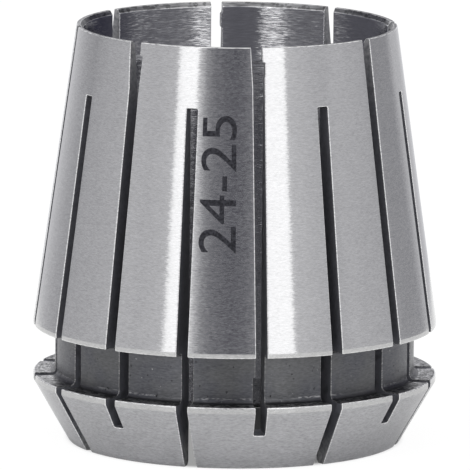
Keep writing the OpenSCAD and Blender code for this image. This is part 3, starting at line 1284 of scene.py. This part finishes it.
def floor_material(stage):
    """A matt pale floor, lifted to white where a camera or a reflection sees it, which keeps a soft shadow.

    The lift begins outside the collet's foot. A reflection sees it grow more slowly with the distance,
    because the ring mirrors the shaded floor at its foot. Inside the bore the floor has painted shade towards
    the back and on the left, and at the front and on the left a painted light that only the camera sees, for
    the light that comes in between the slots.
    """
    material, tree, position = new_material("floor")
    x, y, _ = xyz(tree, position)
    radius = from_axis(tree, x, y)
    outside = ranged(tree, radius, *LIFT_RADII)
    behind = ranged(tree, y, *BORE_SHADE)
    left = fading(tree, maths(tree, "SUBTRACT", x, times(tree, y, SIGHT_SLOPE)), *LEFT_END)
    path = place(tree, "ShaderNodeLightPath").outputs
    at_camera = maths(tree, "MAXIMUM", outside, ranged(tree, behind, 0.0, 1.0, FRONT_PAINTED_LIGHT, 0.0))
    at_camera = maths(tree, "MAXIMUM", at_camera, times(tree, left, LEFT_PAINTED_LIGHT))
    at_camera = times(tree, path["Is Camera Ray"], at_camera)
    at_mirror = times(tree, seen_in_mirror(tree, path), ranged(tree, radius, *MIRRORED_LIFT_RADII))
    lift = times(tree, maths(tree, "MAXIMUM", at_camera, at_mirror), stage.lift)
    shade = times(tree, maths(tree, "MAXIMUM", behind, left), fading(tree, outside, 0.0, 1.0))
    colour = mixed(tree, shade, opaque(stage.floor), opaque(stage.floor, SHADED_FLOOR))
    surface = place(tree, "ShaderNodeBsdfDiffuse", {"Color": colour})
    glow = place(tree, "ShaderNodeEmission", {"Strength": FLOOR_GLOW})
    both = place(tree, "ShaderNodeMixShader", {0: lift, 1: surface.outputs[0], 2: glow.outputs[0]})
    place(tree, "ShaderNodeOutputMaterial", {"Surface": both.outputs[0]})
    return material


# Azimuth from the camera's direction in degrees, positive to the right, and how bright the tent is there
TENT_PROFILE = [
    (-180, 0.35),
    (-176, 1.05),
    (-160, 0.72),
    (-140, 0.61),
    (-127, 0.505),
    (-114, 0.455),
    (-108, 0.55),
    (-84, 0.61),
    (-66, 0.69),
    (-56, 0.66),
    (-39.8, 0.74),
    (-39.2, 1.66),
    (-26.5, 1.72),
    (-25.5, 0.93),
    (-20, 0.36),
    (-14, 0.21),
    (-2, 0.13),
    (6, 0.165),
    (12, 0.27),
    (18, 1.66),
    (33.0, 1.70),
    (33.6, 0.79),
    (60, 0.61),
    (70, 0.67),
    (96, 0.58),
    (109, 0.405),
    (128, 0.385),
    (138, 0.61),
    (150, 0.575),
    (168, 0.655),
    (176, 0.77),
    (180, 0.35),
]
# The same for the tent's shoulder, which the lit flanks of the bore's marks see
TENT_SHOULDER = [
    (-180, 0.12),
    (-100, 0.14),
    (-70, 0.22),
    (-50, 0.27),
    (-42, 0.45),
    (-34, 1.75),
    (-21, 1.75),
    (-18.5, 0.18),
    (16, 0.17),
    (19, 1.75),
    (30, 1.75),
    (38, 0.50),
    (50, 0.28),
    (70, 0.21),
    (100, 0.11),
    (130, 0.05),
    (180, 0.05),
]
# How bright the tent is above its shoulder, up to its crown
TENT_DUSK = 0.18
# A little blue light is added all round, which shows where the tent is dark
TENT_BLUE = 0.025
# The brightest light of TENT_PROFILE, with its blue
TENT_BRIGHTEST = max(strength for _, strength in TENT_PROFILE) + TENT_BLUE
# Shares of the tent's profile, from its foot to its crown: where the shoulder begins in front and behind,
# where it does at the sides, how high its lower edge fades in, where dusk follows it and where the crown does
SHOULDER_FOOT = 0.19
SHOULDER_FOOT_BESIDE = 0.10
SHOULDER_FADE = 0.035
DUSK_FROM = (0.28, 0.30)
CROWN_FROM = (0.36, 0.42)
# Shares of a full turn from the camera's direction between which the sides begin, and between which they end
SIDES_FROM = (0.24, 0.29)
SIDES_TO = (0.44, 0.47)


def tent_glow(strength):
    """The colour of the tent's glow, as a share of TENT_BRIGHTEST."""
    grey = strength / TENT_BRIGHTEST
    return (grey, grey, (strength + TENT_BLUE) / TENT_BRIGHTEST, 1.0)


def profile_ramp(tree, turn, profile):
    """The glow by azimuth. turn is the azimuth as a share of a full turn, plus a half."""
    ramp = place(tree, "ShaderNodeValToRGB", {"Fac": turn})
    stops = ramp.color_ramp.elements
    while len(stops) < len(profile):
        stops.new(0.5)
    for stop, (azimuth, strength) in zip(stops, profile):
        stop.position = azimuth / 360 + 0.5
        stop.color = tent_glow(strength)
    return ramp.outputs["Color"]


def tent_material(stage):
    """The tent's glow by azimuth: one profile for skirt and crown, one for the shoulder, and dusk between.

    The shoulder reaches lower at the sides than in front and behind.
    """
    material, tree, _ = new_material("light_tent")
    turn, rise, _ = xyz(tree, place(tree, "ShaderNodeUVMap", uv_map="UVMap").outputs[0])
    skirt = profile_ramp(tree, turn, TENT_PROFILE)
    shoulder = profile_ramp(tree, turn, TENT_SHOULDER)
    off_front = off(tree, turn, 0.5)
    beside = times(tree, ranged(tree, off_front, *SIDES_FROM), fading(tree, off_front, *SIDES_TO))
    shoulder_foot = ranged(tree, beside, 0.0, 1.0, SHOULDER_FOOT, SHOULDER_FOOT_BESIDE)
    over_foot = maths(tree, "SUBTRACT", rise, shoulder_foot)
    glow = mixed(tree, ranged(tree, over_foot, 0.0, SHOULDER_FADE), skirt, shoulder)
    glow = mixed(tree, ranged(tree, rise, *DUSK_FROM), glow, tent_glow(TENT_DUSK))
    glow = mixed(tree, ranged(tree, rise, *CROWN_FROM), glow, skirt)
    light = place(tree, "ShaderNodeEmission", {"Color": glow, "Strength": TENT_BRIGHTEST * stage.tent})
    place(tree, "ShaderNodeOutputMaterial", {"Surface": light.outputs[0]})
    return material


# Radii of the floor's rings of faces, the first of them next to nothing
FLOOR_RADII = (1e-4, 0.5, 4.0)
# The tent's radius at its foot, how far its wall leans out and its roof rises, how high its wall is, its gap
# above the floor, the points of each quarter ellipse, and the radius that is left open at the top
TENT_FOOT = 0.09
TENT_REACH = 0.5
TENT_WALL = 0.8
TENT_GAP = 0.0005
TENT_POINTS = 24
TENT_TOP = 1e-3
# Name, place, size and power of each soft lamp
LAMPS = [
    ("key_lamp", (-0.6, -0.5, 0.9), 0.6, 3.0),
    ("fill_lamp", (0.7, -0.3, 0.8), 0.8, 1.5),
]


def add_stage_object(name, data):
    """Links an object that isn't part of the collet."""
    made = bpy.data.objects.new(name, data)
    bpy.context.scene.collection.objects.link(made)
    return made


def add_floor(stage):
    """A wide round floor at the height of the collet's front face."""
    mesh = turned_surface("floor", np.array(FLOOR_RADII), np.zeros(len(FLOOR_RADII)))
    mesh.flip_normals()
    mesh.materials.append(floor_material(stage))
    return add_stage_object("floor", mesh)


def add_tent(stage):
    """A tent from just above the floor to a top that is all but closed: two quarter ellipses, wall and roof.

    The wall is r = foot + reach sin t and z = gap + wall (1 - cos t), and the roof is
    r = (foot + reach) cos t and z = wall + reach sin t, with t from 0 to a quarter turn.
    """
    rise = np.linspace(0, math.pi / 2, TENT_POINTS)
    wall = TENT_FOOT + TENT_REACH * np.sin(rise)
    roof = (TENT_FOOT + TENT_REACH) * np.cos(rise[1:-1])
    radii = np.concatenate([wall, roof, [TENT_TOP]])
    wall_z = TENT_GAP + TENT_WALL * (1 - np.cos(rise))
    heights = np.concatenate([wall_z, TENT_WALL + TENT_REACH * np.sin(rise[1:])])
    mesh = turned_surface("light_tent", radii, heights)
    mesh.transform(Matrix.Rotation(stage.azimuth, 4, "Z"))
    mesh.materials.append(tent_material(stage))
    tent = add_stage_object("light_tent", mesh)
    tent.visible_camera = False
    tent.visible_diffuse = False
    tent.visible_transmission = False
    tent.visible_shadow = False
    return tent


def add_lamp(name, place_at, size, power):
    """A square soft lamp that points at the collet and doesn't show in reflections."""
    data = bpy.data.lights.new(name, "AREA")
    data.size = size
    data.energy = power
    lamp = bpy.data.objects.new(name, data)
    bpy.context.scene.collection.objects.link(lamp)
    lamp.location = place_at
    lamp.rotation_euler = (-Vector(place_at)).to_track_quat("-Z", "Y").to_euler()
    lamp.visible_glossy = False
    return lamp


def add_world(stage):
    """Even daylight for matt surfaces, and white where the camera or a reflection sees past the tent."""
    world = bpy.data.worlds.new("studio")
    bpy.context.scene.world = world
    world.use_nodes = True
    tree = world.node_tree
    tree.nodes.clear()
    strength = ranged(tree, seen_directly(tree), 0.0, 1.0, stage.daylight, 1.0)
    light = place(tree, "ShaderNodeBackground", {"Color": (1, 1, 1, 1), "Strength": strength})
    place(tree, "ShaderNodeOutputWorld", {"Surface": light.outputs[0]})


def add_camera(stage):
    """The camera of the photograph's view: a long lens, a little above the collet and to its left."""
    outwards = Vector((math.sin(stage.azimuth), -math.cos(stage.azimuth), 0))
    sideways = Vector((math.cos(stage.azimuth), math.sin(stage.azimuth), 0))
    aim = Vector((0, 0, stage.aim_z)) + stage.aim_side * sideways
    up = Vector((0, 0, 1))
    back = outwards * math.cos(stage.elevation) + up * math.sin(stage.elevation)
    above = back.cross(sideways)
    turn = Matrix((sideways, above, back)).transposed().to_4x4()
    data = bpy.data.cameras.new("camera")
    data.lens = stage.lens
    data.sensor_width = 36
    data.clip_start = 0.01
    data.clip_end = 20
    camera = bpy.data.objects.new("camera", data)
    bpy.context.scene.collection.objects.link(camera)
    placed = Matrix.Translation(aim + stage.distance * back)
    camera.matrix_world = placed @ turn @ Matrix.Rotation(stage.roll, 4, "Z")
    bpy.context.scene.camera = camera
    return camera


# Operators and panel


def add_piece(name, mesh, materials):
    """Links a piece of the collet with the given materials, which rides on its body."""
    for material in materials:
        mesh.materials.append(material)
    piece = bpy.data.objects.new(name, mesh)
    bpy.context.scene.collection.objects.link(piece)
    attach(piece, BODY)
    return piece


# How far the marks change the tone of the taper and of the front ring each way
TAPER_SPREAD = 0.16
RING_SPREAD = 0.32


class COLLET_OT_sleeve(bpy.types.Operator):
    """Make the slit sleeve with its broken edges and finishes"""

    bl_idname = "collet.sleeve"
    bl_label = "Sleeve"

    def execute(self, context):
        finish = context.scene.collet_finish
        groups = {"marks": marks_group(), "pits": pits_group()}
        materials = [
            ground_material("ground_steel", finish.steel, TAPER_SPREAD, finish, groups),
            ground_material("ground_ring", finish.ring, RING_SPREAD, finish, groups),
            bore_material(finish, groups),
            groove_material(finish, groups),
            slot_material(finish, groups),
            faced_material(finish, groups),
        ]
        sleeve = add_piece("sleeve", sleeve_mesh(context.scene.collet_sizes), materials)
        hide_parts(NODE)
        return {"FINISHED"}


class COLLET_OT_marking(bpy.types.Operator):
    """Etch the size marking on the long taper"""

    bl_idname = "collet.marking"
    bl_label = "Size marking"

    def execute(self, context):
        marking = context.scene.collet_marking
        mesh = wrapped_digits(marking, context.scene.collet_sizes)
        add_piece("size_marking", mesh, [etched_material(marking)])
        return {"FINISHED"}


class COLLET_OT_stage(bpy.types.Operator):
    """Set up the floor, the light tent, the lamps and the camera"""

    bl_idname = "collet.stage"
    bl_label = "Studio"

    def execute(self, context):
        stage = context.scene.collet_stage
        context.scene.view_settings.view_transform = "Standard"
        add_world(stage)
        add_floor(stage)
        add_tent(stage)
        for lamp in LAMPS:
            add_lamp(*lamp)
        add_camera(stage)
        return {"FINISHED"}


class VIEW3D_PT_collet(bpy.types.Panel):
    """Sidebar panel of the collet's pieces and settings"""

    bl_label = "Spring Collet"
    bl_category = "Collet"
    bl_space_type = "VIEW_3D"
    bl_region_type = "UI"

    def draw(self, context):
        scene = context.scene
        steps = [
            ("collet.sleeve", [scene.collet_sizes, scene.collet_finish]),
            ("collet.marking", [scene.collet_marking]),
            ("collet.stage", [scene.collet_stage]),
        ]
        for operator, groups in steps:
            box = self.layout.box()
            box.operator(operator)
            for group in groups:
                for name in group.bl_rna.properties.keys():
                    if name not in ("rna_type", "name"):
                        box.prop(group, name)


PROPERTY_GROUPS = {
    "collet_sizes": SleeveSizes,
    "collet_finish": SleeveFinish,
    "collet_marking": MarkingSettings,
    "collet_stage": StageSettings,
}
OPERATORS = [COLLET_OT_sleeve, COLLET_OT_marking, COLLET_OT_stage]


def register():
    """Registers the classes and gives the scene its settings."""
    for cls in [*PROPERTY_GROUPS.values(), *OPERATORS, VIEW3D_PT_collet]:
        bpy.utils.register_class(cls)
    for name, cls in PROPERTY_GROUPS.items():
        setattr(bpy.types.Scene, name, PointerProperty(type=cls))


def unregister():
    """Takes the settings and the classes away again."""
    for name in PROPERTY_GROUPS:
        delattr(bpy.types.Scene, name)
    for cls in reversed([*PROPERTY_GROUPS.values(), *OPERATORS, VIEW3D_PT_collet]):
        bpy.utils.unregister_class(cls)


def main():
    """Makes the collet and its studio, piece by piece."""
    register()
    bpy.ops.collet.sleeve()
    bpy.ops.collet.marking()
    bpy.ops.collet.stage()


if __name__ == "__main__":
    main()
